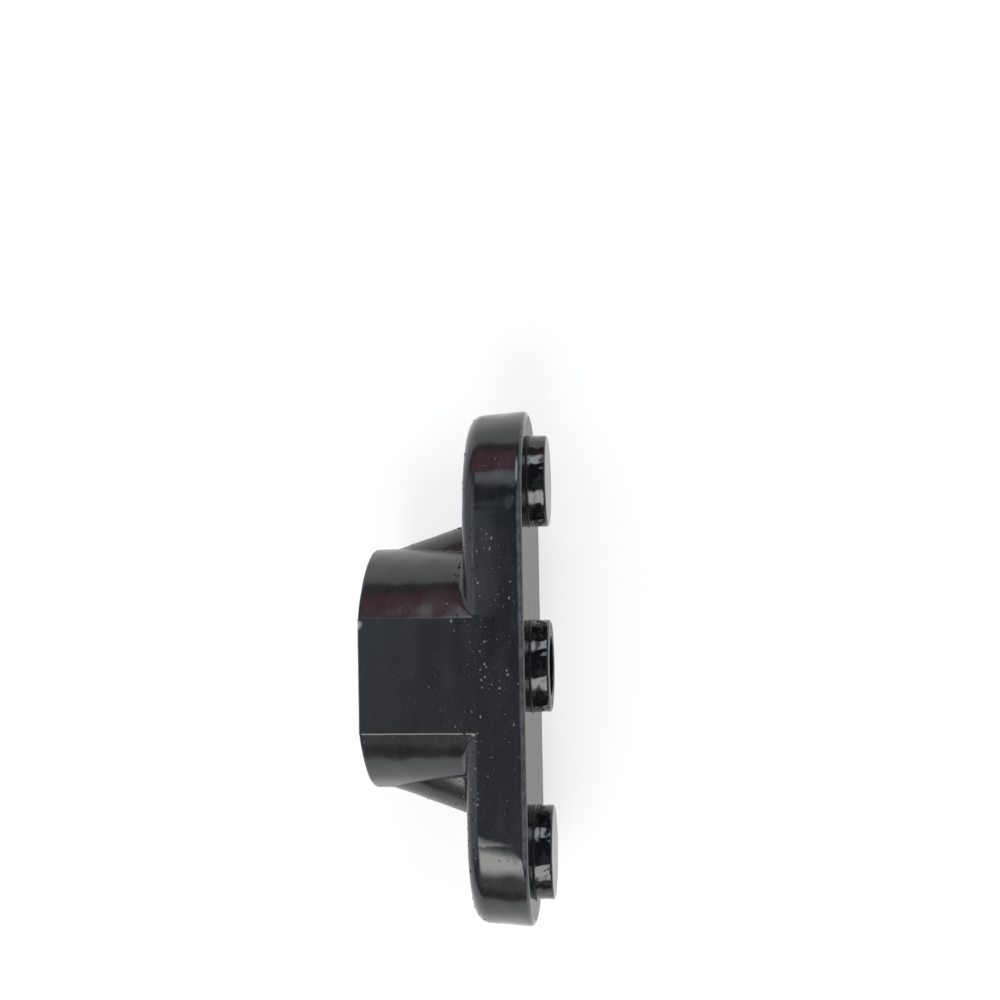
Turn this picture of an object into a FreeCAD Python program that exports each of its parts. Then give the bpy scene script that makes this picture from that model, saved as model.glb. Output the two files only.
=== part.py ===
"""Blade adapter of a walk-behind mower, one casting: a keyed hub, an obround flange and three pins.

The frame is in millimetres. X runs along the shaft bore towards the pins, Y along the flange and Z up
from the flat side it rests on. The origin lies on the bore axis, in the plane of the blade seat.
"""
import FreeCAD
import Part
import Sketcher
import math
import os

TOLERANCE = 1e-3
EDGE_SAMPLES = 7
FULL_TURN = 360
PIN_COUNT = 3
GUSSET_COUNT = 2

# Pins: outer pair and centre spigot, in one row along the flange.
PIN_PITCH = 60.0
PIN_DIAMETER = 15.0
PIN_HEIGHT = 3.0
PIN_RIM = 0.4
# Flange: reach of its round ends past the outer pins, width over the milled flats, the draft of its cast
# sides in degrees, and the least skim that the mill takes off them, where the rounded back edge starts.
END_REACH = 11.5
FLANGE_WIDTH = 34.5
SIDE_DRAFT = 4.0
MILL_SKIM = 0.05
FLANGE_THICKNESS = 9.4
BACK_RADIUS = 2.5
SEAT_RADIUS = 0.85
SEAT_BEVEL = 0.7
# Hub: height over the blade seat, how far its round side stands past the flats, and its cast root.
HUB_HEIGHT = 25.5
FLAT_DEPTH = 2.1
HUB_RIM = 0.3
ROOT_RADIUS = 1.0
# Gussets: round ribs that climb from the hub to the flange, turned by some degrees off its long axis.
# A crest starts at the gap from the hub's end, and the bar runs on into the hub by the bury.
GUSSET_RADIUS = 8.1
GUSSET_TURN = 9.2
GUSSET_RISE = 4.5
GUSSET_GAP = 2.9
GUSSET_BURY = 0.8
# Shaft bore with its keyway, and the hole of the blade bolt.
BORE_DIAMETER = 22.2
BORE_DEPTH = 20.0
BORE_CHAMFER = 1.0
KEY_WIDTH = 4.8
KEY_DEPTH = 2.4
BOLT_DIAMETER = 9.8
BOLT_CHAMFER = 0.3

SIZES = {
    "pin_pitch": PIN_PITCH,
    "pin_diameter": PIN_DIAMETER,
    "pin_height": PIN_HEIGHT,
    "pin_rim": PIN_RIM,
    "end_reach": END_REACH,
    "flange_width": FLANGE_WIDTH,
    "side_draft": SIDE_DRAFT,
    "mill_skim": MILL_SKIM,
    "flange_thickness": FLANGE_THICKNESS,
    "back_radius": BACK_RADIUS,
    "seat_radius": SEAT_RADIUS,
    "seat_bevel": SEAT_BEVEL,
    "hub_height": HUB_HEIGHT,
    "flat_depth": FLAT_DEPTH,
    "hub_rim": HUB_RIM,
    "root_radius": ROOT_RADIUS,
    "gusset_radius": GUSSET_RADIUS,
    "gusset_turn": GUSSET_TURN,
    "gusset_rise": GUSSET_RISE,
    "gusset_gap": GUSSET_GAP,
    "gusset_bury": GUSSET_BURY,
    "bore_diameter": BORE_DIAMETER,
    "bore_depth": BORE_DEPTH,
    "bore_chamfer": BORE_CHAMFER,
    "key_width": KEY_WIDTH,
    "key_depth": KEY_DEPTH,
    "bolt_diameter": BOLT_DIAMETER,
    "bolt_chamfer": BOLT_CHAMFER,
}

doc = FreeCAD.newDocument("blade_adapter")
sheet = doc.addObject("Spreadsheet::Sheet", "Sizes")
for row, (alias, number) in enumerate(SIZES.items(), 1):
    sheet.set("A%d" % row, alias)
    sheet.set("B%d" % row, str(number))
    sheet.setAlias("B%d" % row, alias)
doc.recompute()

body = doc.addObject("PartDesign::Body", "blade_adapter")
body.Label = "blade_adapter"
origin = {feature.Role: feature for feature in body.Origin.OriginFeatures}


def sketch_on(plane, name, along="", where="0"):
    """Sketch on an origin plane, shifted along one of its own axes by an expression."""
    sketch = body.newObject("Sketcher::SketchObject", name)
    sketch.AttachmentSupport = [(origin[plane], "")]
    sketch.MapMode = "FlatFace"
    if along:
        sketch.setExpression("AttachmentOffset.Base." + along, where)
    return sketch


def bind(sketch, index, expression):
    """Tie one dimension of a sketch to the sheet."""
    sketch.setExpression("Constraints[%d]" % index, expression)


def gauge(sketch, kind, first, second, expression, start):
    """Driving dimension between two points of a sketch, tied to the sheet."""
    bind(sketch, sketch.addConstraint(Sketcher.Constraint(kind, *first, *second, start)), expression)


def join_ends(sketch, chain):
    """Close a chain of lines, each one's end on the next one's start."""
    for first, second in zip(chain, chain[1:] + chain[:1]):
        sketch.addConstraint(Sketcher.Constraint("Coincident", first, 2, second, 1))


def vector(x, y):
    return FreeCAD.Vector(x, y, 0)


def line(x1, y1, x2, y2):
    return Part.LineSegment(vector(x1, y1), vector(x2, y2))


def arc(x, y, radius, start, end):
    circle = Part.Circle(vector(x, y), FreeCAD.Vector(0, 0, 1), radius)
    return Part.ArcOfCircle(circle, math.radians(start), math.radians(end))


def edges_where(feature, test):
    """Names of the edges of a feature that pass a test."""
    return ["Edge%d" % (i + 1) for i, edge in enumerate(feature.Shape.Edges) if test(edge)]


def dress(name, base, names, radius):
    """Fillet of chosen edges, sized from the sheet."""
    feature = body.newObject("PartDesign::Fillet", name)
    feature.Base = (base, names)
    feature.setExpression("Radius", "Sizes." + radius)
    doc.recompute()
    return feature


def near(a, b):
    return abs(a - b) < TOLERANCE


width = FLANGE_WIDTH / 2
cast_width = width + MILL_SKIM + (FLANGE_THICKNESS - BACK_RADIUS) * math.tan(math.radians(SIDE_DRAFT))
hub_radius = width + FLAT_DEPTH

# The cast outline at the seat. Its sides draw in towards the back.
taper = "(Sizes.flange_thickness - Sizes.back_radius) * tan(Sizes.side_draft * 1 deg)"
half_cast = "(Sizes.flange_width / 2 + Sizes.mill_skim + " + taper + ")"
outline = sketch_on("YZ_Plane", "outline")
centre = PIN_PITCH / 2 + END_REACH - cast_width
upper = outline.addGeometry(line(-centre, cast_width, centre, cast_width))
right = outline.addGeometry(arc(centre, 0, cast_width, -90, 90))
lower = outline.addGeometry(line(centre, -cast_width, -centre, -cast_width))
left = outline.addGeometry(arc(-centre, 0, cast_width, 90, 270))
outline.addConstraint(Sketcher.Constraint("Tangent", upper, 1, left, 1))
outline.addConstraint(Sketcher.Constraint("Tangent", upper, 2, right, 2))
outline.addConstraint(Sketcher.Constraint("Tangent", lower, 1, right, 1))
outline.addConstraint(Sketcher.Constraint("Tangent", lower, 2, left, 2))
outline.addConstraint(Sketcher.Constraint("Horizontal", upper))
outline.addConstraint(Sketcher.Constraint("PointOnObject", right, 3, -1))
outline.addConstraint(Sketcher.Constraint("Symmetric", left, 3, right, 3, -1, 1))
end_size = outline.addConstraint(Sketcher.Constraint("Radius", right, cast_width))
bind(outline, end_size, half_cast)
end_place = "Sizes.pin_pitch / 2 + Sizes.end_reach - " + half_cast
gauge(outline, "DistanceX", (-1, 1), (right, 3), end_place, centre)
flange = body.newObject("PartDesign::Pad", "flange")
flange.Profile = outline
flange.Reversed = True
flange.setExpression("Length", "Sizes.flange_thickness")
flange.setExpression("TaperAngle", "-Sizes.side_draft * 1 deg")
doc.recompute()


def on_seat(edge):
    return near(edge.BoundBox.XMin, 0) and near(edge.BoundBox.XMax, 0)


def on_back(edge):
    return near(edge.BoundBox.XMin, -FLANGE_THICKNESS) and near(edge.BoundBox.XMax, -FLANGE_THICKNESS)


back_round = dress("back_round", flange, edges_where(flange, on_back), "back_radius")
seat_round = dress("seat_round", back_round, edges_where(back_round, on_seat), "seat_radius")

# The hub is cast round. It starts half way into the flange, so the seat's rounded edge stays whole.
hub_circle = sketch_on("YZ_Plane", "hub_circle", "z", "-Sizes.flange_thickness / 2")
hub_round = hub_circle.addGeometry(Part.Circle(vector(0, 0), FreeCAD.Vector(0, 0, 1), hub_radius))
hub_circle.addConstraint(Sketcher.Constraint("Coincident", hub_round, 3, -1, 1))
hub_size = hub_circle.addConstraint(Sketcher.Constraint("Radius", hub_round, hub_radius))
bind(hub_circle, hub_size, "Sizes.flange_width / 2 + Sizes.flat_depth")
hub = body.newObject("PartDesign::Pad", "hub")
hub.Profile = hub_circle
hub.Reversed = True
hub.setExpression("Length", "Sizes.hub_height - Sizes.flange_thickness / 2")
doc.recompute()


def on_hub_root(edge):
    box = edge.BoundBox
    if box.XMin < -FLANGE_THICKNESS - TOLERANCE or near(box.XMin, -FLANGE_THICKNESS / 2):
        return False
    return all(near(math.hypot(p.y, p.z), hub_radius) for p in edge.discretize(EDGE_SAMPLES))


root_round = dress("root_round", hub, edges_where(hub, on_hub_root), "root_radius")

# One gusset is a round bar on a slope, from half way into the flange to inside the hub.
run = "(Sizes.hub_height - Sizes.flange_thickness - Sizes.gusset_gap)"
slope = "Sizes.gusset_rise / " + run
crest = "Sizes.flange_width / 2 + Sizes.flat_depth + Sizes.gusset_rise - Sizes.gusset_radius"


def gusset_section(name, depth):
    """Round section of the gusset at a depth behind the seat, on the sloping line of its axis."""
    sketch = sketch_on("YZ_Plane", name, "z", "-(" + depth + ")")
    place = "(" + crest + " - " + slope + " * (" + depth + " - Sizes.flange_thickness))"
    start = hub_radius - GUSSET_RADIUS
    round_bar = sketch.addGeometry(Part.Circle(vector(start, -1), FreeCAD.Vector(0, 0, 1), GUSSET_RADIUS))
    bar_size = sketch.addConstraint(Sketcher.Constraint("Radius", round_bar, GUSSET_RADIUS))
    bind(sketch, bar_size, "Sizes.gusset_radius")
    gauge(sketch, "DistanceX", (-1, 1), (round_bar, 3), place + " * cos(Sizes.gusset_turn * 1 deg)", start)
    gauge(sketch, "DistanceY", (round_bar, 3), (-1, 1), place + " * sin(Sizes.gusset_turn * 1 deg)", 1)
    return sketch


gusset_foot = gusset_section("gusset_foot", "Sizes.flange_thickness / 2")
gusset_tip = gusset_section("gusset_tip", "Sizes.hub_height - Sizes.gusset_gap + Sizes.gusset_bury")
gusset = body.newObject("PartDesign::AdditiveLoft", "gusset")
gusset.Profile = gusset_foot
gusset.Sections = [gusset_tip]
doc.recompute()
gussets = body.newObject("PartDesign::PolarPattern", "gussets")
gussets.Originals = [gusset]
gussets.Axis = (origin["X_Axis"], [""])
gussets.Angle = FULL_TURN
gussets.Occurrences = GUSSET_COUNT
body.Tip = gussets
doc.recompute()

# Half section of the lowest pin, with a bevelled rim, turned about its own axis. It starts half way into
# the flange.
pin_section = sketch_on("XY_Plane", "pin_section", "y", "-Sizes.pin_pitch / 2")
radius = PIN_DIAMETER / 2
inner = pin_section.addGeometry(line(-FLANGE_THICKNESS / 2, 0, -FLANGE_THICKNESS / 2, radius))
side = pin_section.addGeometry(line(-FLANGE_THICKNESS / 2, radius, PIN_HEIGHT - PIN_RIM, radius))
bevel = pin_section.addGeometry(line(PIN_HEIGHT - PIN_RIM, radius, PIN_HEIGHT, radius - PIN_RIM))
face = pin_section.addGeometry(line(PIN_HEIGHT, radius - PIN_RIM, PIN_HEIGHT, 0))
axis = pin_section.addGeometry(line(PIN_HEIGHT, 0, -FLANGE_THICKNESS / 2, 0))
join_ends(pin_section, [inner, side, bevel, face, axis])
pin_section.addConstraint(Sketcher.Constraint("Vertical", inner))
pin_section.addConstraint(Sketcher.Constraint("Horizontal", side))
pin_section.addConstraint(Sketcher.Constraint("Vertical", face))
pin_section.addConstraint(Sketcher.Constraint("PointOnObject", axis, 1, -1))
pin_section.addConstraint(Sketcher.Constraint("PointOnObject", axis, 2, -1))
gauge(pin_section, "DistanceX", (inner, 1), (-1, 1), "Sizes.flange_thickness / 2", FLANGE_THICKNESS / 2)
gauge(pin_section, "DistanceX", (-1, 1), (face, 1), "Sizes.pin_height", PIN_HEIGHT)
gauge(pin_section, "DistanceY", (-1, 1), (side, 1), "Sizes.pin_diameter / 2", radius)
gauge(pin_section, "DistanceX", (bevel, 1), (bevel, 2), "Sizes.pin_rim", PIN_RIM)
gauge(pin_section, "DistanceY", (bevel, 2), (bevel, 1), "Sizes.pin_rim", PIN_RIM)
pin = body.newObject("PartDesign::Revolution", "pin")
pin.Profile = pin_section
pin.ReferenceAxis = (pin_section, ["H_Axis"])
pin.Angle = FULL_TURN
doc.recompute()
pins = body.newObject("PartDesign::LinearPattern", "pins")
pins.Originals = [pin]
pins.Direction = (origin["Y_Axis"], [""])
pins.setExpression("Length", "Sizes.pin_pitch")
pins.Occurrences = PIN_COUNT
body.Tip = pins
doc.recompute()

# Half section of the shaft bore and of the bolt hole that goes on through the web and the centre pin.
bore_section = sketch_on("XY_Plane", "bore_section")
bore = BORE_DIAMETER / 2
web = BORE_DEPTH - HUB_HEIGHT
bolt = BOLT_DIAMETER / 2
mouth = bore_section.addGeometry(line(-HUB_HEIGHT, 0, -HUB_HEIGHT, bore + BORE_CHAMFER))
lead = bore_section.addGeometry(line(-HUB_HEIGHT, bore + BORE_CHAMFER, BORE_CHAMFER - HUB_HEIGHT, bore))
wall = bore_section.addGeometry(line(BORE_CHAMFER - HUB_HEIGHT, bore, web, bore))
step = bore_section.addGeometry(line(web, bore, web, bolt))
hole = bore_section.addGeometry(line(web, bolt, PIN_HEIGHT - BOLT_CHAMFER, bolt))
flare = bore_section.addGeometry(line(PIN_HEIGHT - BOLT_CHAMFER, bolt, PIN_HEIGHT, bolt + BOLT_CHAMFER))
lip = bore_section.addGeometry(line(PIN_HEIGHT, bolt + BOLT_CHAMFER, PIN_HEIGHT, 0))
core = bore_section.addGeometry(line(PIN_HEIGHT, 0, -HUB_HEIGHT, 0))
join_ends(bore_section, [mouth, lead, wall, step, hole, flare, lip, core])
for upright in (mouth, step, lip):
    bore_section.addConstraint(Sketcher.Constraint("Vertical", upright))
for level in (wall, hole):
    bore_section.addConstraint(Sketcher.Constraint("Horizontal", level))
for end in (1, 2):
    bore_section.addConstraint(Sketcher.Constraint("PointOnObject", core, end, -1))
gauge(bore_section, "DistanceX", (mouth, 1), (-1, 1), "Sizes.hub_height", HUB_HEIGHT)
gauge(bore_section, "DistanceY", (-1, 1), (wall, 1), "Sizes.bore_diameter / 2", bore)
gauge(bore_section, "DistanceX", (mouth, 1), (step, 1), "Sizes.bore_depth", HUB_HEIGHT + web)
gauge(bore_section, "DistanceX", (lead, 1), (lead, 2), "Sizes.bore_chamfer", BORE_CHAMFER)
gauge(bore_section, "DistanceY", (lead, 2), (lead, 1), "Sizes.bore_chamfer", BORE_CHAMFER)
gauge(bore_section, "DistanceY", (-1, 1), (hole, 1), "Sizes.bolt_diameter / 2", bolt)
gauge(bore_section, "DistanceX", (-1, 1), (lip, 1), "Sizes.pin_height", PIN_HEIGHT)
gauge(bore_section, "DistanceX", (flare, 1), (flare, 2), "Sizes.bolt_chamfer", BOLT_CHAMFER)
gauge(bore_section, "DistanceY", (flare, 1), (flare, 2), "Sizes.bolt_chamfer", BOLT_CHAMFER)
bored = body.newObject("PartDesign::Groove", "bored")
bored.Profile = bore_section
bored.ReferenceAxis = (bore_section, ["H_Axis"])
bored.Angle = FULL_TURN
doc.recompute()

key_section = sketch_on("YZ_Plane", "key_section", "z", "-Sizes.hub_height")
half_key = KEY_WIDTH / 2
key_top = bore + KEY_DEPTH
key_low = key_section.addGeometry(line(bore / 2, -half_key, key_top, -half_key))
key_end = key_section.addGeometry(line(key_top, -half_key, key_top, half_key))
key_high = key_section.addGeometry(line(key_top, half_key, bore / 2, half_key))
key_open = key_section.addGeometry(line(bore / 2, half_key, bore / 2, -half_key))
join_ends(key_section, [key_low, key_end, key_high, key_open])
key_section.addConstraint(Sketcher.Constraint("Horizontal", key_low))
key_section.addConstraint(Sketcher.Constraint("Vertical", key_open))
key_section.addConstraint(Sketcher.Constraint("Horizontal", key_high))
key_section.addConstraint(Sketcher.Constraint("Symmetric", key_end, 1, key_end, 2, -1))
gauge(key_section, "DistanceY", (key_end, 1), (key_end, 2), "Sizes.key_width", KEY_WIDTH)
gauge(key_section, "DistanceX", (-1, 1), (key_end, 1), "Sizes.bore_diameter / 2 + Sizes.key_depth", key_top)
gauge(key_section, "DistanceX", (-1, 1), (key_open, 1), "Sizes.bore_diameter / 4", bore / 2)
keyway = body.newObject("PartDesign::Pocket", "keyway")
keyway.Profile = key_section
keyway.Reversed = True
keyway.setExpression("Length", "Sizes.bore_depth")
body.Tip = keyway
doc.recompute()

# The mill cuts both flats in one plane with the flange's sides, over the whole height.
flat_section = sketch_on("YZ_Plane", "flat_section")
reach = PIN_PITCH / 2 + END_REACH + width
for side_of_bore in (1, -1):
    inside = side_of_bore * width
    outside = 2 * inside
    cut = flat_section.addGeometry(line(-reach, inside, reach, inside))
    far = flat_section.addGeometry(line(reach, inside, reach, outside))
    top = flat_section.addGeometry(line(reach, outside, -reach, outside))
    back = flat_section.addGeometry(line(-reach, outside, -reach, inside))
    join_ends(flat_section, [cut, far, top, back])
    flat_section.addConstraint(Sketcher.Constraint("Horizontal", top))
    flat_section.addConstraint(Sketcher.Constraint("Vertical", far))
    flat_section.addConstraint(Sketcher.Constraint("Symmetric", cut, 1, cut, 2, -2))
    ends = [(-1, 1), (cut, 2)]
    if side_of_bore < 0:
        ends.reverse()
    gauge(flat_section, "DistanceY", *ends, "Sizes.flange_width / 2", width)
    flat_high = flat_section.addConstraint(Sketcher.Constraint("Distance", far, width))
    bind(flat_section, flat_high, "Sizes.flange_width / 2")
    flat_long = flat_section.addConstraint(Sketcher.Constraint("Distance", cut, 2 * reach))
    bind(flat_section, flat_long, "Sizes.pin_pitch + 2 * Sizes.end_reach + Sizes.flange_width")
flats = body.newObject("PartDesign::Pocket", "flats")
flats.Profile = flat_section
flats.Type = "ThroughAll"
flats.Midplane = True
body.Tip = flats
doc.recompute()

# Along both flats the edge of the seat is broken by a bevel, which runs out at the round ends.
edge_section = sketch_on("XZ_Plane", "edge_section")
for side_of_bore in (1, -1):
    high = side_of_bore * (width + SEAT_BEVEL)
    low = side_of_bore * (width - 2 * SEAT_BEVEL)
    slant = edge_section.addGeometry(line(-2 * SEAT_BEVEL, high, SEAT_BEVEL, low))
    upright = edge_section.addGeometry(line(SEAT_BEVEL, low, SEAT_BEVEL, high))
    level = edge_section.addGeometry(line(SEAT_BEVEL, high, -2 * SEAT_BEVEL, high))
    join_ends(edge_section, [slant, upright, level])
    edge_section.addConstraint(Sketcher.Constraint("Vertical", upright))
    edge_section.addConstraint(Sketcher.Constraint("Horizontal", level))
    gauge(edge_section, "DistanceX", (-1, 1), (upright, 2), "Sizes.seat_bevel", SEAT_BEVEL)
    ends = [(-1, 1), (upright, 2)]
    if side_of_bore < 0:
        ends.reverse()
    gauge(edge_section, "DistanceY", *ends, "Sizes.flange_width / 2 + Sizes.seat_bevel", abs(high))
    for leg in (upright, level):
        leg_size = edge_section.addConstraint(Sketcher.Constraint("Distance", leg, 3 * SEAT_BEVEL))
        bind(edge_section, leg_size, "3 * Sizes.seat_bevel")
seat_bevel = body.newObject("PartDesign::Pocket", "seat_bevel")
seat_bevel.Profile = edge_section
seat_bevel.Type = "ThroughAll"
seat_bevel.Midplane = True
body.Tip = seat_bevel
doc.recompute()


def on_hub_end(edge):
    box = edge.BoundBox
    outer = max(math.hypot(p.y, p.z) for p in edge.discretize(EDGE_SAMPLES))
    return near(box.XMin, -HUB_HEIGHT) and near(box.XMax, -HUB_HEIGHT) and outer > width - TOLERANCE


hub_bevel = body.newObject("PartDesign::Chamfer", "hub_bevel")
hub_bevel.Base = (seat_bevel, edges_where(seat_bevel, on_hub_end))
hub_bevel.setExpression("Size", "Sizes.hub_rim")
body.Tip = hub_bevel
doc.recompute()

for feature in body.Group:
    if "Invalid" in feature.State or "Error" in feature.State:
        raise RuntimeError(feature.Name + " did not build")
    if feature.isDerivedFrom("PartDesign::Feature"):
        if feature.Shape.isNull() or not feature.Shape.isValid():
            raise RuntimeError(feature.Name + " has a bad shape")
cuts = [pins, bored, keyway, flats, seat_bevel]
for before, after in zip(cuts, cuts[1:]):
    if after.Shape.Volume >= before.Shape.Volume:
        raise RuntimeError(after.Name + " cuts nothing")
if len(body.Shape.Solids) != 1:
    raise RuntimeError("the casting is not one solid")

os.makedirs("parts", exist_ok=True)
body.Shape.exportStep(os.path.join("parts", body.Label + ".step"))
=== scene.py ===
import math

import bmesh
import bpy
import numpy as np
from bpy.props import FloatProperty, FloatVectorProperty, IntProperty, PointerProperty
from mathutils import Matrix, Vector


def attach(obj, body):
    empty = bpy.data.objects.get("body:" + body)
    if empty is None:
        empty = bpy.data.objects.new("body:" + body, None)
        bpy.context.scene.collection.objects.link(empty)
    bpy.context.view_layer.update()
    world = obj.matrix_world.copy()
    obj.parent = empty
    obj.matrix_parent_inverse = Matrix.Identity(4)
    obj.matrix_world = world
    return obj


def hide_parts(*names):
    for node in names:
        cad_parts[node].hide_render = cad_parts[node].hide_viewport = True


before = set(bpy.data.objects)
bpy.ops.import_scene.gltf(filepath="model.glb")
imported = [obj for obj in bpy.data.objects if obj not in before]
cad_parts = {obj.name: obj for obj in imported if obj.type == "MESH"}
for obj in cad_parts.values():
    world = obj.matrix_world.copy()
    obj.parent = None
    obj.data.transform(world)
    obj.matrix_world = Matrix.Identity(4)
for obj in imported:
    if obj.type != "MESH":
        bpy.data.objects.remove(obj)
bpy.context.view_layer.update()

bl_info = {
    "name": "Blade adapter looks",
    "version": (1, 0, 0),
    "blender": (4, 5, 0),
    "location": "View3D > Sidebar > Blade adapter",
    "description": "Enamelled casting of a mower blade adapter, with paint nibs, floor and studio light",
    "category": "Object",
}

NODE = "blade_adapter"
CASTING = "adapter_casting"
MM = 0.001

# Guards against a division by nothing, and the slope of a face at 45 degrees.
TINY = 1e-9
LEAST_SINE = 1e-4
LEAST_SLOPE = 1e-12
DIAGONAL = math.sqrt(0.5)

# Pins along the flange, in half pitches from the bore, and the hands of the two gussets.
PIN_PLACES = (-1, 0, 1)
HANDS = (1, -1)

# Skin left as cast on the upper half: where it starts, and how fast it gets its full depth.
SKIN_START = 3 * MM
SKIN_RUN = 9 * MM
SKIN_HEIGHT = 12 * MM

# Soft run of the milled flat into the drafted side: none at the seat, full round the ends.
CREASE_START = 0.5 * MM
CREASE_RUN = 2.0 * MM
CREASE_ROUND = 2 * MM
CREASE_ON_SKIN = 0.6
CREASE_LEAST = 0.01

# Roundings as shares of the bevel and the rim, and the lean of the hub to its flat.
BEVEL_ROUND = 1.2
FLAT_ROUND = 0.3
FLAT_LEAN = 0.891
BOLT_FLARE = 0.3

# Paint: lengths and numbers of its waves and beads, where they lie, and the lift that keeps
# them from standing out of the solid.
WAVE_LENGTHS = (3.5 * MM, 9 * MM)
WAVE_COUNT = 14
WAVE_ON_FLAT = 0.4
CAST_RUN = 0.5 * MM
BEAD_LENGTHS = (1.1 * MM, 2.2 * MM)
BEAD_COUNT = 16
BEAD_START = 0.3 * MM
BEAD_RUN = 0.5 * MM
BEAD_END = 0.4 * MM
PAINT_LIFT = 1.5

# Mesh of the casting: corners that are merged, places with finer cells, and the settling.
MERGE = 1e-7
MOUTH_REACH = 0.6 * MM
FOOT_REACH = 0.75 * MM
FINER_CUTS = 2
SETTLE_TURNS = 8
EVEN_TURNS = 5
EVEN_SHARE = 0.4
SETTLE_STEP = 0.02 * MM
SETTLE_LIMIT = 0.3 * MM
NORMAL_STEP = 0.06 * MM

# Faces that look along the bore: the seat, the ends of the pins, and their gloss.
FACING_START = 0.9
FACING_GAIN = 12
SEAT_TOP = 0.5 * MM
SEAT_RUN = 0.2 * MM
SEAT_GLOSS = 0.48
TIP_START = 2 * MM
TIP_RUN = 0.5 * MM
OUTER_TIP_GLOSS = 0.72
MIDDLE_TIP_GLOSS = 0.36

# Sides of the pins, the matt crease at their feet, and the nick in the hub's rim.
PIN_START = 0.3 * MM
PIN_RUN = 0.3 * MM
FOOT_CREASE = 0.12 * MM
NICK_AT = (-25.4, 7.9, 17.1)
NICK_SIZE = 0.45 * MM
SPOT_REACH = 1.6

# Rubbed edge of the seat, lighter in colour: wear and a painted highlight, by the way it faces and its
# place.
EDGE_FACING = 0.6
EDGE_SPREAD = 0.3
EDGE_REACH = 1.3
EDGE_TOP = 0.1 * MM
EDGE_TOP_RUN = 0.1 * MM
EDGE_LOW = -1.3 * MM
EDGE_LOW_RUN = 0.2 * MM

# Coarse skin behind the flange, beside the hub.
COARSE_START = 16.5 * MM
COARSE_RUN = 2 * MM
COARSE_BACK = -8.6 * MM

# Share of nibs: few everywhere, most where hub and flange meet on the flats, some at the root.
NIBS_ANYWHERE = 0.04
NIBS_JUNCTION = 0.85
NIBS_ROOT = 0.25
JUNCTION_X, JUNCTION_LONG, JUNCTION_WIDE = 5 * MM, 7 * MM, 22 * MM
FLAT_BAND = 5 * MM
FLAT_REACH = 1.2
ROOT_X, ROOT_LONG, ROOT_START = 11 * MM, 2.5 * MM, 7 * MM
SEAT_CLEAR = 1.2
SEAT_LEAST = 0.02
CLUMP_LENGTHS = (4 * MM, 10 * MM)
CLUMP_COUNT = 12
CLUMP_MEAN, CLUMP_GAIN, CLUMP_LEAST, CLUMP_MOST = 0.6, 0.7, 0.06, 1.8

# Enamel and nibs: refractive indices, gains on the dusty colour (dust specks, and the seat edge's wear
# with a painted highlight), and the domes.
ENAMEL_INDEX = 1.5
NIB_INDEX = 2.05
DUST_AND_HIGHLIGHT_GAIN = 4
# Gain that darkens the pins' enamel: painted shade on the same paint.
PIN_SHADE_GAIN = 0.7
NIB_SEGMENTS = 8
NIB_RINGS = 5
NIB_POWER = 2.2
MATT_SEED = 3
MATT_DEPTH = 0.72
NIB_INPUTS = {
    "Density": "density",
    "Smallest": "smallest",
    "Largest": "largest",
    "Flatness": "flatness",
}

# Stage: floor, lamps and camera.
FLOOR_DROP = 0.02 * MM
FLOOR_HALF = 12.0
FLOOR_SEEN = 0.34
FLOOR_GLOW = 0.7
ROOM_TOP = 0.75
LAMP_DISTANCE = 0.8
LAMP_MIDDLE = 0.5
LAMP_FULL = 0.25
CAMERA_AT = (18.7246, 19.5846, 230.2199)
CAMERA_TURNS = (("Z", 0.0212), ("Y", -0.1025), ("X", -0.0325))
CAMERA_SENSOR = 36
CAMERA_CLIP = (0.01, 100)

# Name, direction from the part, width, height, radiance and colour of each soft box.
SOFT_BOXES = (
    ("lower_box", (-0.13, -0.87, 1.0), 0.64, 0.58, 6.8, (1.0, 0.99, 0.97)),
    ("overhead", (-0.22, -0.26, 1.0), 0.42, 0.46, 0.28, (0.94, 0.97, 1.0)),
    ("upper_box", (0.22, 1.35, 1.0), 0.50, 0.44, 6.0, (0.84, 0.92, 1.0)),
    ("upper_side", (-0.27, 1.05, 1.0), 0.32, 0.26, 1.6, (0.84, 0.90, 1.0)),
    ("warm_wall", (-0.9, 2.2, 1.0), 0.62, 0.46, 0.62, (1.0, 0.32, 0.38)),
    ("left_high", (-0.47, 0.15, 1.0), 0.42, 0.60, 0.75, (0.82, 0.90, 1.0)),
    ("left_wall", (-1.0, 0.05, 0.62), 1.5, 1.25, 1.1, (0.80, 0.90, 1.0)),
    ("right_wall", (1.0, 0.0, 0.6), 1.4, 0.9, 0.9, (0.96, 0.98, 1.0)),
    ("lower_wall", (-0.30, -2.1, 1.0), 1.0, 0.40, 0.45, (1.0, 0.98, 0.95)),
)


def length_property(name, description, millimetres):
    """Length, given in millimetres."""
    return FloatProperty(
        name=name, description=description, default=millimetres * MM, unit="LENGTH"
    )


def angle_property(name, description, degrees):
    """Angle, given in degrees."""
    return FloatProperty(
        name=name, description=description, default=math.radians(degrees), subtype="ANGLE"
    )


def colour_property(name, description, colour):
    """Linear colour."""
    return FloatVectorProperty(
        name=name, description=description, default=colour, subtype="COLOR", size=3
    )


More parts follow.
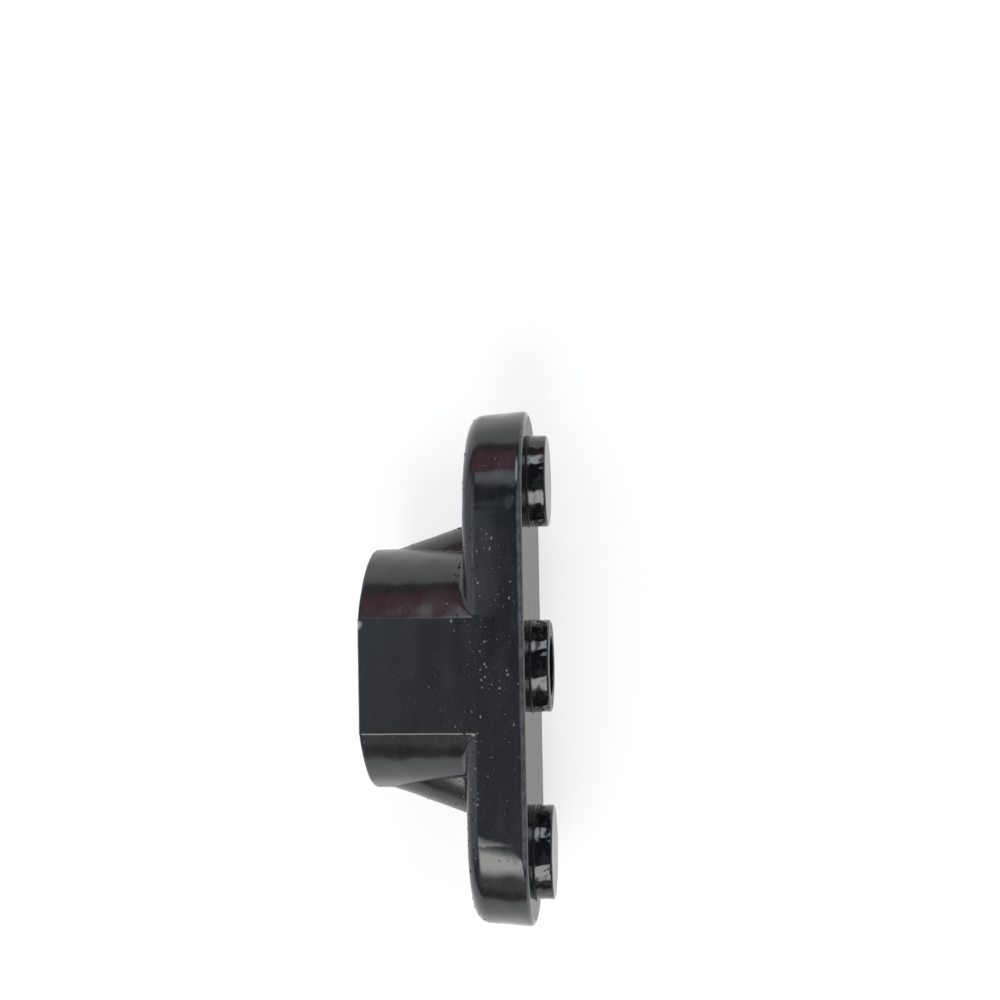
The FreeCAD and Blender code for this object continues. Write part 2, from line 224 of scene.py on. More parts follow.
class AdapterSizes(bpy.types.PropertyGroup):
    """Sizes of the casting, in the frame of the solid."""

    pin_pitch: length_property("Pin pitch", "Between the outer pins", 60)
    pin_radius: length_property("Pin radius", "Radius of each pin", 7.5)
    pin_height: length_property("Pin height", "Rise over the blade seat", 3)
    half_length: length_property("Half length", "Bore to flange end at the seat", 41.5)
    half_width: length_property("Half width", "Bore to milled flat", 17.25)
    draft: angle_property("Draft", "Of the cast sides", 4)
    skim: length_property("Skim", "Least cut of the mill", 0.05)
    thickness: length_property("Thickness", "Of the flange", 9.4)
    back_radius: length_property("Back edge", "Rounding of the flange's back", 2.5)
    seat_radius: length_property("Seat edge", "Rounding round the blade seat", 0.85)
    hub_radius: length_property("Hub radius", "Of the round hub", 19.35)
    hub_height: length_property("Hub height", "Hub end to blade seat", 25.5)
    root_radius: length_property("Root", "Fillet of hub and flange", 1)
    gusset_radius: length_property("Gusset radius", "Of the round rib", 8.1)
    gusset_turn: angle_property("Gusset turn", "Off the long axis", 9.2)
    gusset_rise: length_property("Gusset rise", "Crest over hub at the flange", 4.5)
    gusset_gap: length_property("Gusset gap", "Hub end to start of crest", 2.9)
    bore_radius: length_property("Bore radius", "Of the shaft bore", 11.1)
    bore_depth: length_property("Bore depth", "From the hub's end", 20)
    bore_chamfer: length_property("Bore chamfer", "At the hub's end", 1)
    key_width: length_property("Key width", "Of the keyway", 4.8)
    key_depth: length_property("Key depth", "Past the bore", 2.4)
    bolt_radius: length_property("Bolt hole", "Radius of the bolt hole", 4.9)
    rim: length_property("Rim", "Soft rim of hub and pins", 0.4)
    foot: length_property("Pin foot", "Paint fillet round each pin", 0.05)
    bevel: length_property("Seat bevel", "Along the flats", 0.7)
    uncut: length_property("Left as cast", "Skin under the mill, upper half", 0.14)
    brow: length_property("Soft crease", "Depth of the flat's run into the drafted side", 0.55)
    grid: length_property("Mesh grid", "Size of the casting's mesh cells", 0.4)


class EnamelSettings(bpy.types.PropertyGroup):
    """Colour and surface of the black enamel."""

    dark: colour_property("Enamel", "Main colour", (0.0095, 0.011, 0.0128))
    worn: colour_property("Dusty enamel", "Where dust dulls it", (0.016, 0.0175, 0.0202))
    bare: colour_property("Bare iron", "At the nick in the rim", (0.52, 0.50, 0.48))
    wave: length_property("Paint wave", "Height of slow waves in the paint", 0.020)
    bead: length_property("Pin beads", "Height of the beads on the pins", 0.024)
    seed: IntProperty(name="Seed", description="Of the waves and nibs", default=7)


class NibSettings(bpy.types.PropertyGroup):
    """Nibs of dust under the enamel."""

    smallest: length_property("Smallest nib", "Radius", 0.08)
    largest: length_property("Largest nib", "Radius", 0.36)
    density: FloatProperty(
        name="Density",
        description="Nibs in a square metre where they are thickest",
        default=1700000.0,
    )
    flatness: FloatProperty(
        name="Flatness", description="Height of a nib over its radius", default=0.7
    )


class StageSettings(bpy.types.PropertyGroup):
    """Floor, light and camera."""

    floor: colour_property("Floor", "Pale floor", (0.9, 0.9, 0.9))
    low_sky: colour_property("Room low", "Room near the horizon", (0.20, 0.15, 0.15))
    high_sky: colour_property("Room high", "Room overhead", (0.04, 0.045, 0.05))
    lens: FloatProperty(name="Lens", description="Focal length in millimetres", default=50.949)


def ramp(source, start, run):
    """From 0 at the start to 1 a run further on."""
    return np.clip((source - start) / run, 0, 1)


def spot(distance, size, reach):
    """From 1 near a place to 0 at a distance of reach times its size."""
    return np.clip(reach - distance / size, 0, 1)


def fillet(a, b, lean, r):
    """Space inside either field, with a fillet; lean is the cosine between their slopes."""
    u = r - a
    v = r - b
    first = u - lean * v
    second = v - lean * u
    square = np.maximum(u * u + v * v - 2 * lean * u * v, 0)
    reach = np.sqrt(square / np.maximum(1 - lean * lean, LEAST_SINE))
    return np.where((first > 0) & (second > 0), np.maximum(r - reach, -r), np.minimum(a, b))


def rounded(a, b, lean, r):
    """Space inside both fields, with their edge rounded; lean is the cosine of their slopes."""
    return -fillet(-a, -b, lean, r)


def plane_waves(p, lengths, count, rng):
    """Random smooth waves of about one size, around 0."""
    total = np.zeros(len(p))
    for _ in range(count):
        way = rng.normal(size=3)
        way *= 2 * math.pi / (rng.uniform(*lengths) * np.linalg.norm(way))
        total += np.sin(p @ way + rng.uniform(0, 2 * math.pi))
    return total / math.sqrt(count)


def flange_field(x, y, z, s):
    """Flange, its milled flats alone, and the way its rounded back edge faces."""
    cast = s.half_width + s.skim + (s.thickness - s.back_radius) * math.tan(s.draft)
    draw, level = math.sin(s.draft), math.cos(s.draft)
    past = np.maximum(np.abs(y) - (s.half_length - cast), 0) * np.sign(y)
    ring = np.maximum(np.hypot(past, z), TINY)
    rise = ramp(y, SKIN_START, SKIN_RUN) * ramp(z, 0, SKIN_HEIGHT)
    side = (ring - cast + s.uncut * rise * rise * (3 - 2 * rise)) * level - x * draw
    back = -(x + s.thickness)
    flange = rounded(rounded(side, back, draw, s.back_radius), x, -draw, s.seat_radius)
    mill = np.abs(z) - s.half_width
    inward = np.clip((-x - CREASE_START) / CREASE_RUN, CREASE_LEAST, 1)
    reach = np.maximum(np.abs(past) / CREASE_ROUND, CREASE_ON_SKIN * rise)
    soft = s.brow * inward * np.clip(reach, CREASE_LEAST, 1)
    share = np.clip(1 - np.abs(flange - mill) / soft, 0, 1)
    flange = np.maximum(flange, mill) + soft * share * share / 4
    bevel = (mill + x + s.bevel) * DIAGONAL
    flange = rounded(flange, bevel, DIAGONAL, BEVEL_ROUND * s.bevel)
    outward = np.maximum(side + s.back_radius, 0)
    backward = np.maximum(back + s.back_radius, 0)
    turn = np.maximum(np.hypot(outward, backward), TINY)
    return flange, mill, (outward / turn, backward / turn, past, ring)


def hub_field(x, y, z, out, s):
    """Hub with its gussets, and the slope of whichever of them is nearer."""
    hub = rounded(out - s.hub_radius, -(x + s.hub_height), 0, s.rim)
    hub = np.maximum(hub, x + s.thickness / 2)
    run = s.hub_height - s.thickness - s.gusset_gap
    slope = s.gusset_rise / run
    steep = math.hypot(1, slope)
    crest = s.hub_radius + s.gusset_rise + slope * (x + s.thickness) - s.gusset_radius
    lean_x, lean_y, lean_z = np.zeros_like(x), y / out, z / out
    for hand in HANDS:
        way_y = hand * math.cos(s.gusset_turn)
        way_z = -hand * math.sin(s.gusset_turn)
        bar_y, bar_z = y - way_y * crest, z - way_z * crest
        bar_out = np.maximum(np.hypot(bar_y, bar_z), TINY)
        bar = (bar_out - s.gusset_radius) / steep
        bar = np.maximum(bar, x + s.thickness / 2)
        bar = np.maximum(bar, -(x + s.hub_height - s.gusset_gap + s.root_radius))
        bar_y, bar_z = bar_y / bar_out / steep, bar_z / bar_out / steep
        bar_x = -slope * (bar_y * way_y + bar_z * way_z)
        nearer = bar < hub
        hub = fillet(hub, bar, bar_y * y / out + bar_z * z / out, s.rim)
        lean_x = np.where(nearer, bar_x, lean_x)
        lean_y = np.where(nearer, bar_y, lean_y)
        lean_z = np.where(nearer, bar_z, lean_z)
    return hub, (lean_x, lean_y, lean_z)


def hollow_field(x, y, z, out, s):
    """Shaft bore with its chamfer and keyway, and bolt hole with its flare."""
    web = s.bore_depth - s.hub_height
    bore = np.maximum(out - s.bore_radius, x - web)
    lead = (out - s.bore_radius - s.bore_chamfer + x + s.hub_height) * DIAGONAL
    bolt = np.maximum(out - s.bolt_radius, -(x - web + s.rim))
    flare = (out - s.bolt_radius - (x - s.pin_height + BOLT_FLARE * s.rim)) * DIAGONAL
    key = np.maximum(np.abs(z) - s.key_width / 2, y - s.bore_radius - s.key_depth)
    key = np.maximum(key, np.maximum(-y, x - web))
    return np.minimum(np.minimum(np.minimum(bore, lead), np.minimum(bolt, flare)), key)


def paint_coat(p, s, e):
    """Depths of the slow waves in the paint, and of the beads on the pins."""
    x, _, z = p.T
    rng = np.random.default_rng(e.seed)
    wave = plane_waves(p, WAVE_LENGTHS, WAVE_COUNT, rng)
    bead = plane_waves(p, BEAD_LENGTHS, BEAD_COUNT, rng)
    on_pin = ramp(x, BEAD_START, BEAD_RUN) * ramp(s.pin_height - x, 0, BEAD_END)
    as_cast = ramp(s.half_width - np.abs(z), 0, CAST_RUN) * ramp(-x, 0, MM)
    waves = e.wave * (WAVE_ON_FLAT + as_cast) * (wave + PAINT_LIFT)
    beads = e.bead * on_pin * (bead + PAINT_LIFT)
    return waves, beads


def casting_field(p, s, e):
    """Signed distance to the enamelled casting at each point, in metres."""
    x, y, z = p.T
    out = np.maximum(np.hypot(y, z), TINY)
    draw, level = math.sin(s.draft), math.cos(s.draft)
    flange, mill, (outward, backward, past, ring) = flange_field(x, y, z, s)
    hub, (lean_x, lean_y, lean_z) = hub_field(x, y, z, out, s)
    across = level * (lean_y * past + lean_z * z) / ring - draw * lean_x
    solid = fillet(flange, hub, outward * across - backward * lean_x, s.root_radius)
    solid = rounded(solid, mill, FLAT_LEAN, FLAT_ROUND * s.rim)
    for place in PIN_PLACES:
        wall = np.hypot(y - place * s.pin_pitch / 2, z) - s.pin_radius
        pin = rounded(wall, x - s.pin_height, 0, s.rim)
        pin = np.maximum(pin, -(x + s.thickness / 2))
        solid = fillet(solid, pin, 0, s.foot)
    solid = np.maximum(solid, -hollow_field(x, y, z, out, s))
    waves, beads = paint_coat(p, s, e)
    return solid + waves + beads


def field_slope(p, s, e, step):
    """Unit normal of the field at each point."""
    normal = np.empty_like(p)
    for axis in range(3):
        shift = np.zeros(3)
        shift[axis] = step
        normal[:, axis] = casting_field(p + shift, s, e) - casting_field(p - shift, s, e)
    return normal / np.maximum(np.linalg.norm(normal, axis=1), LEAST_SLOPE)[:, None]


def foot_distance(p, place, s):
    """Distance from the line round the foot of one pin."""
    x, y, z = p.T
    return np.hypot(np.hypot(y - place * s.pin_pitch / 2, z) - s.pin_radius, x)


def merged_copy(name):
    """Closed copy of the solid's mesh."""
    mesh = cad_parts[name].data.copy()
    work = bmesh.new()
    work.from_mesh(mesh)
    bmesh.ops.remove_doubles(work, verts=work.verts, dist=MERGE)
    work.to_mesh(mesh)
    work.free()
    mesh.materials.clear()
    return mesh


def even_mesh(mesh, grid):
    """The same form in even cells."""
    base = bpy.data.objects.new("casting_base", mesh)
    bpy.context.scene.collection.objects.link(base)
    remesh = base.modifiers.new("cells", "REMESH")
    remesh.mode = "VOXEL"
    remesh.voxel_size = grid
    remesh.adaptivity = 0
    bpy.context.view_layer.update()
    depsgraph = bpy.context.evaluated_depsgraph_get()
    made = bpy.data.meshes.new_from_object(base.evaluated_get(depsgraph))
    bpy.data.objects.remove(base)
    return made


def finer_edges(mesh, s):
    """Smaller cells at the feet of the pins and the mouth of the bolt hole."""
    work = bmesh.new()
    work.from_mesh(mesh)
    p = np.array([corner.co for corner in work.verts])
    x, y, z = p.T
    near = np.hypot(np.hypot(y, z) - s.bolt_radius, x - s.pin_height) < MOUTH_REACH
    for place in PIN_PLACES:
        near |= foot_distance(p, place, s) < FOOT_REACH
    chosen = [edge for edge in work.edges if all(near[corner.index] for corner in edge.verts)]
    bmesh.ops.subdivide_edges(work, edges=chosen, cuts=FINER_CUTS, use_grid_fill=True)
    work.to_mesh(mesh)
    work.free()


def settle(mesh, s, e):
    """Move the cells' corners onto the casting's surface, and give them its normals."""
    count = len(mesh.vertices)
    p = np.empty(count * 3)
    mesh.vertices.foreach_get("co", p)
    p = p.reshape(-1, 3)
    edges = np.empty(len(mesh.edges) * 2, dtype=np.int64)
    mesh.edges.foreach_get("vertices", edges)
    a, b = edges.reshape(-1, 2).T
    degree = np.bincount(np.concatenate([a, b]), minlength=count)
    for turn in range(SETTLE_TURNS):
        normal = field_slope(p, s, e, SETTLE_STEP)
        p -= normal * np.clip(casting_field(p, s, e), -SETTLE_LIMIT, SETTLE_LIMIT)[:, None]
        if turn < EVEN_TURNS:
            around = np.empty_like(p)
            for axis in range(3):
                there, here = p[b, axis], p[a, axis]
                around[:, axis] = np.bincount(a, there, count) + np.bincount(b, here, count)
            drift = around / degree[:, None] - p
            p += EVEN_SHARE * (drift - normal * (drift * normal).sum(1)[:, None])
    mesh.vertices.foreach_set("co", p.ravel())
    normal = field_slope(p, s, e, NORMAL_STEP)
    for poly in mesh.polygons:
        poly.use_smooth = True
    mesh.update()
    mesh.normals_split_custom_set_from_vertices(normal)
    return p, normal


def nib_share(p, normal, s, seed):
    """How thick the nibs lie: clumped, and clear of the seat."""
    x, y, z = p.T
    front = spot(np.abs(np.abs(z) - s.half_width), FLAT_BAND, FLAT_REACH)
    junction = np.exp(-(((x + JUNCTION_X) / JUNCTION_LONG) ** 2) - (y / JUNCTION_WIDE) ** 2)
    clump = plane_waves(p, CLUMP_LENGTHS, CLUMP_COUNT, np.random.default_rng(seed))
    root = np.exp(-(((x + ROOT_X) / ROOT_LONG) ** 2)) * ramp(np.abs(y), ROOT_START, MM)
    share = NIBS_ANYWHERE + NIBS_JUNCTION * junction * front + NIBS_ROOT * root
    clear = np.clip(1 - SEAT_CLEAR * normal[:, 0], SEAT_LEAST, 1)
    share *= clear * np.clip(CLUMP_MEAN + CLUMP_GAIN * clump, CLUMP_LEAST, CLUMP_MOST)
    return share


def casting_masks(p, normal, s, e):
    """Where each finish of the casting lies, by the name of its attribute."""
    x, y, _ = p.T
    facing = np.clip((normal[:, 0] - FACING_START) * FACING_GAIN, 0, 1)
    seat = facing * ramp(SEAT_TOP - x, 0, SEAT_RUN)
    pin = ramp(x, PIN_START, PIN_RUN)
    gloss = SEAT_GLOSS * seat
    tip = facing * ramp(x, TIP_START, TIP_RUN)
    seat = np.maximum(seat, tip)
    middle = np.abs(y) < s.pin_pitch / 4
    gloss = gloss + tip * np.where(middle, MIDDLE_TIP_GLOSS, OUTER_TIP_GLOSS)
    for place in PIN_PLACES:
        crease = spot(foot_distance(p, place, s), FOOT_CREASE, SPOT_REACH)
        seat = np.maximum(seat, crease)
        pin = np.maximum(pin, crease)
        gloss = gloss * (1 - crease)
    # Rounded seat edge, picked by the way it faces: worn, and lit with a painted highlight in the
    # colour.
    edge = spot(np.abs(normal[:, 0] - EDGE_FACING), EDGE_SPREAD, EDGE_REACH)
    edge = edge * ramp(EDGE_TOP - x, 0, EDGE_TOP_RUN)
    edge = edge * ramp(x, EDGE_LOW, EDGE_LOW_RUN)
    nick_at = np.array(NICK_AT) * MM
    return {
        "coarse": ramp(np.abs(y), COARSE_START, COARSE_RUN) * ramp(COARSE_BACK - x, 0, MM),
        "seat": seat,
        "gloss": gloss,
        "pin": pin,
        "chip": spot(np.linalg.norm(p - nick_at, axis=1), NICK_SIZE, SPOT_REACH),
        "edge": edge,
        "nib_share": nib_share(p, normal, s, e.seed + 1),
    }


def add(tree, kind, **settings):
    """Node with its plain settings."""
    made = tree.nodes.new(kind)
    for key, setting in settings.items():
        setattr(made, key, setting)
    return made


def feed(tree, source, socket):
    """Link a socket, or set a plain value on it."""
    if isinstance(source, bpy.types.NodeSocket):
        tree.links.new(source, socket)
    else:
        socket.default_value = source


def attribute(tree, name):
    """Value of a named attribute."""
    return add(tree, "ShaderNodeAttribute", attribute_name=name).outputs["Fac"]


def maths(tree, operation, *sources):
    """Result of one operation on sockets or numbers."""
    made = add(tree, "ShaderNodeMath", operation=operation)
    for source, socket in zip(sources, made.inputs):
        feed(tree, source, socket)
    return made.outputs[0]


def noise(tree, place, scale, detail, rough):
    """Soft random pattern."""
    made = add(tree, "ShaderNodeTexNoise")
    names = ("Vector", "Scale", "Detail", "Roughness")
    for name, source in zip(names, (place, scale, detail, rough)):
        feed(tree, source, made.inputs[name])
    return made.outputs["Fac"]


def spread(tree, source, low, high, to_low, to_high):
    """Map one range onto another."""
    made = add(tree, "ShaderNodeMapRange", clamp=True)
    names = ("Value", "From Min", "From Max", "To Min", "To Max")
    for name, number in zip(names, (source, low, high, to_low, to_high)):
        feed(tree, number, made.inputs[name])
    return made.outputs["Result"]


def blend(tree, factor, first, second):
    """Mix two colours by a factor."""
    made = add(tree, "ShaderNodeMix", data_type="RGBA")
    feed(tree, factor, made.inputs["Factor"])
    for socket, colour in ((made.inputs[6], first), (made.inputs[7], second)):
        linked = isinstance(colour, bpy.types.NodeSocket)
        feed(tree, colour if linked else (*colour, 1), socket)
    return made.outputs[2]


def shade(tree, factor, source, number):
    """Bring a value to a number by a factor."""
    made = add(tree, "ShaderNodeMix", data_type="FLOAT")
    feed(tree, factor, made.inputs["Factor"])
    feed(tree, source, made.inputs[2])
    feed(tree, number, made.inputs[3])
    return made.outputs[0]


def bump(tree, height, strength, distance, normal=None):
    """Normal of a fine relief, over another one if there is one."""
    made = add(tree, "ShaderNodeBump")
    feed(tree, height, made.inputs["Height"])
    feed(tree, strength, made.inputs["Strength"])
    feed(tree, distance, made.inputs["Distance"])
    if normal is not None:
        feed(tree, normal, made.inputs["Normal"])
    return made.outputs["Normal"]


def times(colour, gain):
    """Colour made lighter or darker."""
    return [gain * channel for channel in colour]


def enamel_colour(tree, place, patches, dark, worn, bare):
    """Dusty patches and specks, the rubbed seat edge lighter with wear and a painted highlight, pins
    darker as painted shade, and the bare nick.
    """
    dusty = spread(tree, patches, low=0.42, high=0.68, to_low=0, to_high=1)
    colour = blend(tree, dusty, dark, worn)
    dust = noise(tree, place, scale=2600, detail=2, rough=0.5)
    specks = spread(tree, dust, low=0.70, high=0.78, to_low=0, to_high=1)
    colour = blend(tree, specks, colour, times(worn, DUST_AND_HIGHLIGHT_GAIN))
    wear_and_highlight = noise(tree, place, scale=700, detail=4, rough=0.6)
    wear_and_highlight = spread(tree, wear_and_highlight, low=0.42, high=0.6, to_low=0.25, to_high=1)
    # Seat edge made lighter: wear and a painted highlight on the rounding.
    rubbed_and_highlight = maths(tree, "MULTIPLY", attribute(tree, "edge"), wear_and_highlight)
    colour = blend(tree, rubbed_and_highlight, colour, times(worn, DUST_AND_HIGHLIGHT_GAIN))
    # Pins darker than the rest of the enamel: painted shade.
    colour = blend(tree, attribute(tree, "pin"), colour, times(dark, PIN_SHADE_GAIN))
    return blend(tree, attribute(tree, "chip"), colour, bare)


def enamel_material(name, dark, worn, bare, index):
    """Gloss enamel: orange peel, dull patches, glossier pins and a coarse skin at the root."""
    material = bpy.data.materials.new(name)
    material.use_nodes = True
    tree = material.node_tree
    shader = tree.nodes["Principled BSDF"]
    place = add(tree, "ShaderNodeTexCoord").outputs["Object"]
    coarse = attribute(tree, "coarse")
    drawn = add(tree, "ShaderNodeMapping")
    feed(tree, (1.7, 0.5, 1.2), drawn.inputs["Scale"])
    feed(tree, place, drawn.inputs["Vector"])
    patches = noise(tree, drawn.outputs["Vector"], scale=210, detail=5, rough=0.68)
    sheen = spread(tree, patches, low=0.35, high=0.7, to_low=0.10, to_high=0.19)
    sheen = shade(tree, attribute(tree, "pin"), sheen, 0.07)
    sheen = shade(tree, coarse, sheen, 0.26)
    level = spread(tree, attribute(tree, "seat"), low=0, high=1, to_low=0.5, to_high=0.0)
    relief = noise(tree, place, scale=900, detail=3, rough=0.55)
    strength = spread(tree, coarse, low=0, high=1, to_low=0.25, to_high=1.0)
    peel = bump(tree, relief, strength, 0.02 * MM)
    relief = noise(tree, place, scale=4200, detail=2, rough=0.5)
    grain = bump(tree, relief, 0.12, 0.01 * MM, peel)
    for socket, source in (
        ("Base Color", enamel_colour(tree, place, patches, dark, worn, bare)),
        ("Roughness", sheen),
        ("Metallic", attribute(tree, "chip")),
        ("IOR", index),
        ("Coat Weight", attribute(tree, "gloss")),
        ("Coat Roughness", 0.07),
        ("Specular IOR Level", level),
        ("Normal", grain),
    ):
        feed(tree, source, shader.inputs[socket])
    return material


def nib_tree(material):
    """Geometry nodes that scatter small domes over the casting, some of them matt."""
    tree = bpy.data.node_groups.new("paint_nibs", "GeometryNodeTree")
    face = tree.interface
    for side in ("INPUT", "OUTPUT"):
        face.new_socket("Geometry", in_out=side, socket_type="NodeSocketGeometry")
    for name in NIB_INPUTS:
        face.new_socket(name, in_out="INPUT", socket_type="NodeSocketFloat")
    face.new_socket("Seed", in_out="INPUT", socket_type="NodeSocketInt")
    start = add(tree, "NodeGroupInput").outputs
    mask = add(tree, "GeometryNodeInputNamedAttribute", data_type="FLOAT")
    feed(tree, "nib_share", mask.inputs["Name"])
    share = mask.outputs["Attribute"]
    points = add(tree, "GeometryNodeDistributePointsOnFaces", distribute_method="RANDOM")
    feed(tree, start["Geometry"], points.inputs["Mesh"])
    feed(tree, maths(tree, "MULTIPLY", share, start["Density"]), points.inputs["Density"])
    feed(tree, start["Seed"], points.inputs["Seed"])
    dome = add(tree, "GeometryNodeMeshUVSphere")
    feed(tree, NIB_SEGMENTS, dome.inputs["Segments"])
    feed(tree, NIB_RINGS, dome.inputs["Rings"])
    feed(tree, 1, dome.inputs["Radius"])
    chance = add(tree, "FunctionNodeRandomValue", data_type="FLOAT")
    feed(tree, start["Seed"], chance.inputs["Seed"])
    chosen = maths(tree, "POWER", chance.outputs[1], NIB_POWER)
    thin = spread(tree, share, low=0, high=0.5, to_low=0.1, to_high=1)
    chosen = maths(tree, "MULTIPLY", chosen, thin)
    size = spread(tree, chosen, 0, 1, start["Smallest"], start["Largest"])
    form = add(tree, "ShaderNodeCombineXYZ")
    feed(tree, size, form.inputs["X"])
    feed(tree, size, form.inputs["Y"])
    feed(tree, maths(tree, "MULTIPLY", size, start["Flatness"]), form.inputs["Z"])
    place = add(tree, "GeometryNodeInstanceOnPoints")
    feed(tree, points.outputs["Points"], place.inputs["Points"])
    feed(tree, points.outputs["Rotation"], place.inputs["Rotation"])
    feed(tree, dome.outputs["Mesh"], place.inputs["Instance"])
    feed(tree, form.outputs["Vector"], place.inputs["Scale"])
    dull = add(tree, "FunctionNodeRandomValue", data_type="FLOAT")
    feed(tree, MATT_SEED, dull.inputs["Seed"])
    matt = spread(tree, dull.outputs[1], low=0.42, high=0.44, to_low=0, to_high=MATT_DEPTH)
    mark = add(tree, "GeometryNodeStoreNamedAttribute", data_type="FLOAT", domain="INSTANCE")
    feed(tree, "seat", mark.inputs["Name"])
    feed(tree, matt, mark.inputs["Value"])
    paint = add(tree, "GeometryNodeSetMaterial")
    feed(tree, material, paint.inputs["Material"])
    made = place.outputs["Instances"]
    for step in (
        mark,
        add(tree, "GeometryNodeRealizeInstances"),
        add(tree, "GeometryNodeSetShadeSmooth"),
        paint,
        add(tree, "NodeGroupOutput"),
    ):
        feed(tree, made, step.inputs["Geometry"])
        made = step.outputs["Geometry"] if step.outputs else None
    return tree


class ADAPTER_OT_casting(bpy.types.Operator):
    """Build the enamelled casting over the solid"""

    bl_idname = "blade_adapter.casting"
    bl_label = "Casting"

    def execute(self, context):
        s = context.scene.adapter_sizes
        e = context.scene.adapter_enamel
        mesh = even_mesh(merged_copy(NODE), s.grid)
        finer_edges(mesh, s)
        p, normal = settle(mesh, s, e)
        for name, numbers in casting_masks(p, normal, s, e).items():
            layer = mesh.attributes.new(name, "FLOAT", "POINT")
            layer.data.foreach_set("value", numbers.astype(np.float32))
        paint = enamel_material("gloss_black_enamel", e.dark, e.worn, e.bare, ENAMEL_INDEX)
        mesh.materials.append(paint)
        piece = bpy.data.objects.new(CASTING, mesh)
        context.scene.collection.objects.link(piece)
        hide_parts(NODE)
        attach(piece, "root")
        return {"FINISHED"}


class ADAPTER_OT_nibs(bpy.types.Operator):
    """Scatter the nibs of dust under the enamel"""

    bl_idname = "blade_adapter.nibs"
    bl_label = "Paint nibs"

    def execute(self, context):
        casting = bpy.data.objects.get(CASTING)
        if casting is None:
            raise RuntimeError("build the casting first")
        settings = context.scene.adapter_nibs
        e = context.scene.adapter_enamel
        tree = nib_tree(enamel_material("enamel_nib", e.dark, e.dark, e.bare, NIB_INDEX))
        work = bpy.data.objects.new("nib_base", casting.data.copy())
        context.scene.collection.objects.link(work)
        scatter = work.modifiers.new("nibs", "NODES")
        scatter.node_group = tree
        sockets = tree.interface.items_tree
        inputs = {item.name: item.identifier for item in sockets if item.in_out == "INPUT"}
        for name, setting in NIB_INPUTS.items():
            scatter[inputs[name]] = getattr(settings, setting)
        scatter[inputs["Seed"]] = e.seed
        context.view_layer.update()
        depsgraph = context.evaluated_depsgraph_get()
        mesh = bpy.data.meshes.new_from_object(work.evaluated_get(depsgraph))
        bpy.data.objects.remove(work)
        if len(mesh.polygons) == 0:
            raise RuntimeError("no nibs were made")
        piece = bpy.data.objects.new("paint_nibs", mesh)
        context.scene.collection.objects.link(piece)
        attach(piece, "root")
        return {"FINISHED"}


def floor_material(colour):
    """Pale floor, white to the camera and in reflections, that keeps the part's shadow."""
    material = bpy.data.materials.new("pale_floor")
    material.use_nodes = True
    tree = material.node_tree
    tree.nodes.clear()
    path = add(tree, "ShaderNodeLightPath").outputs
    seen = maths(tree, "MAXIMUM", path["Is Camera Ray"], path["Is Glossy Ray"])
    seen = maths(tree, "MAXIMUM", seen, path["Is Transmission Ray"])
    pale = add(tree, "ShaderNodeBsdfDiffuse")
    feed(tree, (*colour, 1), pale.inputs["Color"])
    faint = add(tree, "ShaderNodeBsdfDiffuse")
    feed(tree, (FLOOR_SEEN, FLOOR_SEEN, FLOOR_SEEN, 1), faint.inputs["Color"])
    white = add(tree, "ShaderNodeEmission")
    feed(tree, FLOOR_GLOW, white.inputs["Strength"])
    both = add(tree, "ShaderNodeAddShader")
    feed(tree, faint.outputs["BSDF"], both.inputs[0])
    feed(tree, white.outputs["Emission"], both.inputs[1])
    mix = add(tree, "ShaderNodeMixShader")
    feed(tree, seen, mix.inputs["Fac"])
    feed(tree, pale.outputs["BSDF"], mix.inputs[1])
    feed(tree, both.outputs["Shader"], mix.inputs[2])
    out = add(tree, "ShaderNodeOutputMaterial")
    feed(tree, mix.outputs["Shader"], out.inputs["Surface"])
    return material


def room_world(low, high):
    """Dim room, warmer and lighter near the horizon."""
    world = bpy.data.worlds.new("room")
    world.use_nodes = True
    tree = world.node_tree
    split = add(tree, "ShaderNodeSeparateXYZ")
    feed(tree, add(tree, "ShaderNodeTexCoord").outputs["Generated"], split.inputs["Vector"])
    rise = spread(tree, split.outputs["Z"], low=0.0, high=ROOM_TOP, to_low=0, to_high=1)
    feed(tree, blend(tree, rise, low, high), tree.nodes["Background"].inputs["Color"])
    bpy.context.scene.world = world


def soft_light(name, way, width, height, radiance, colour):
    """Soft box on a direction from the part, turned to face it and fading to its edges."""
    data = bpy.data.lights.new(name, "AREA")
    data.shape = "RECTANGLE"
    data.size = width
    data.size_y = height
    data.energy = radiance * math.pi * width * height
    data.color = colour
    data.use_nodes = True
    tree = data.node_tree
    split = add(tree, "ShaderNodeSeparateXYZ")
    feed(tree, add(tree, "ShaderNodeNewGeometry").outputs["Parametric"], split.inputs["Vector"])
    shares = []
    for axis in "XY":
        off = maths(tree, "SUBTRACT", split.outputs[axis], LAMP_MIDDLE)
        away = maths(tree, "ABSOLUTE", off)
        shares.append(spread(tree, away, LAMP_MIDDLE, LAMP_FULL, to_low=0, to_high=1))
    fade = maths(tree, "MULTIPLY", *shares)
    feed(tree, fade, tree.nodes["Emission"].inputs["Strength"])
    lamp = bpy.data.objects.new(name, data)
    lamp.location = Vector(way).normalized() * LAMP_DISTANCE
    lamp.rotation_euler = lamp.location.to_track_quat("Z", "Y").to_euler()
    bpy.context.scene.collection.objects.link(lamp)


def lay_floor(level, colour):
    """Wide floor that the part lies on."""
    mesh = bpy.data.meshes.new("floor")
    signs = ((-1, -1), (1, -1), (1, 1), (-1, 1))
    corners = [(across * FLOOR_HALF, along * FLOOR_HALF, level) for across, along in signs]
    mesh.from_pydata(corners, [], [(0, 1, 2, 3)])
    mesh.materials.append(floor_material(colour))
    floor = bpy.data.objects.new("floor", mesh)
    bpy.context.scene.collection.objects.link(floor)


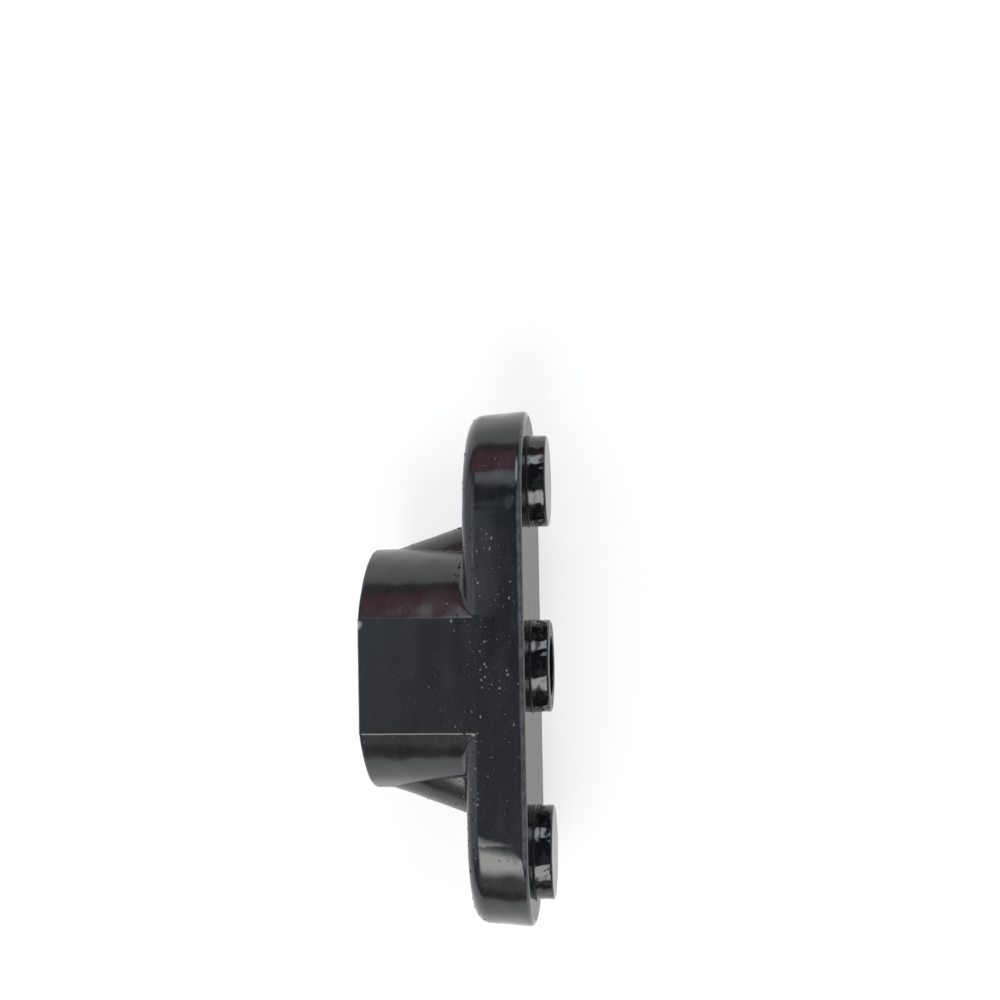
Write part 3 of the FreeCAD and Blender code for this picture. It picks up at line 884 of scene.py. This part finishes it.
def set_camera(lens):
    """Camera over the part, fitted to the view it is made after."""
    data = bpy.data.cameras.new("camera")
    data.sensor_width = CAMERA_SENSOR
    data.lens = lens
    data.clip_start, data.clip_end = CAMERA_CLIP
    turn = Matrix.Identity(3)
    for axis, angle in CAMERA_TURNS:
        turn = turn @ Matrix.Rotation(angle, 3, axis)
    camera = bpy.data.objects.new("camera", data)
    place = Matrix.Translation(Vector(CAMERA_AT) * MM)
    camera.matrix_world = place @ turn.transposed().to_4x4()
    bpy.context.scene.collection.objects.link(camera)
    bpy.context.scene.camera = camera


class ADAPTER_OT_stage(bpy.types.Operator):
    """Lay the floor and set the light and the camera"""

    bl_idname = "blade_adapter.stage"
    bl_label = "Stage"

    def execute(self, context):
        scene = context.scene
        s = scene.adapter_stage
        lay_floor(-scene.adapter_sizes.half_width - FLOOR_DROP, s.floor)
        room_world(s.low_sky, s.high_sky)
        for box in SOFT_BOXES:
            soft_light(*box)
        set_camera(s.lens)
        scene.view_settings.view_transform = "Standard"
        return {"FINISHED"}


class ADAPTER_PT_sidebar(bpy.types.Panel):
    """Pieces of the blade adapter"""

    bl_label = "Blade adapter"
    bl_space_type = "VIEW_3D"
    bl_region_type = "UI"
    bl_category = "Blade adapter"

    def draw(self, context):
        layout = self.layout
        for group in GROUPS:
            box = layout.box()
            settings = getattr(context.scene, group)
            for name in settings.__annotations__:
                box.prop(settings, name)
        for operator in OPERATORS:
            layout.operator(operator.bl_idname)


OPERATORS = (ADAPTER_OT_casting, ADAPTER_OT_nibs, ADAPTER_OT_stage)
GROUPS = {
    "adapter_sizes": AdapterSizes,
    "adapter_enamel": EnamelSettings,
    "adapter_nibs": NibSettings,
    "adapter_stage": StageSettings,
}


def register():
    """Register the settings, the operators and the panel."""
    for name, group in GROUPS.items():
        bpy.utils.register_class(group)
        setattr(bpy.types.Scene, name, PointerProperty(type=group))
    for made in (*OPERATORS, ADAPTER_PT_sidebar):
        bpy.utils.register_class(made)


def unregister():
    """Take them away again."""
    for made in (ADAPTER_PT_sidebar, *reversed(OPERATORS)):
        bpy.utils.unregister_class(made)
    for name, group in GROUPS.items():
        delattr(bpy.types.Scene, name)
        bpy.utils.unregister_class(group)


def main():
    """Build the pieces and the stage in order."""
    register()
    bpy.ops.blade_adapter.casting()
    bpy.ops.blade_adapter.nibs()
    bpy.ops.blade_adapter.stage()


if __name__ == "__main__":
    main()
